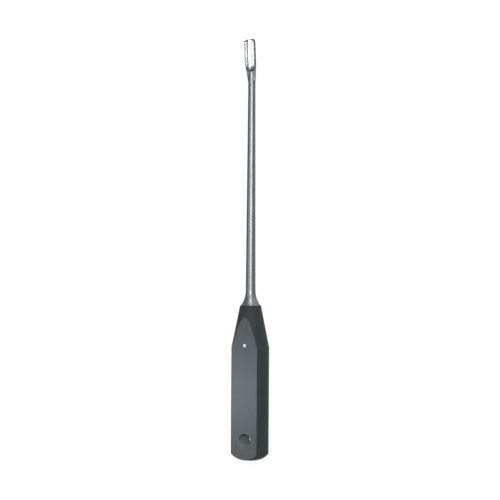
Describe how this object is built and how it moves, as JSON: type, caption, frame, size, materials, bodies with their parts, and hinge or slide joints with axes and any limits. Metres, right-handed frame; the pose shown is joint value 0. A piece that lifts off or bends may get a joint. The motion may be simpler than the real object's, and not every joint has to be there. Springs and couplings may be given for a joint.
{
  "type": "bone gouge",
  "caption": "Surgical bone gouge: long round steel shaft with a half-round troughed blade, and a black two-flat handle with a hanging hole.",
  "frame": {"origin": "where the hanging hole crosses the axis of the tool", "axes": "+Y along the tool towards the cutting end, +Z out of the upper flat, the way the trough opens"},
  "size_m": [0.0251, 0.28, 0.0172],
  "materials": {
    "steel": "satin",
    "handle": "satin"
  },
  "bodies": {
    "root": {"blade_and_shaft": "steel", "handle": "handle", "cross_pin": "steel"}
  },
  "joints": []
}
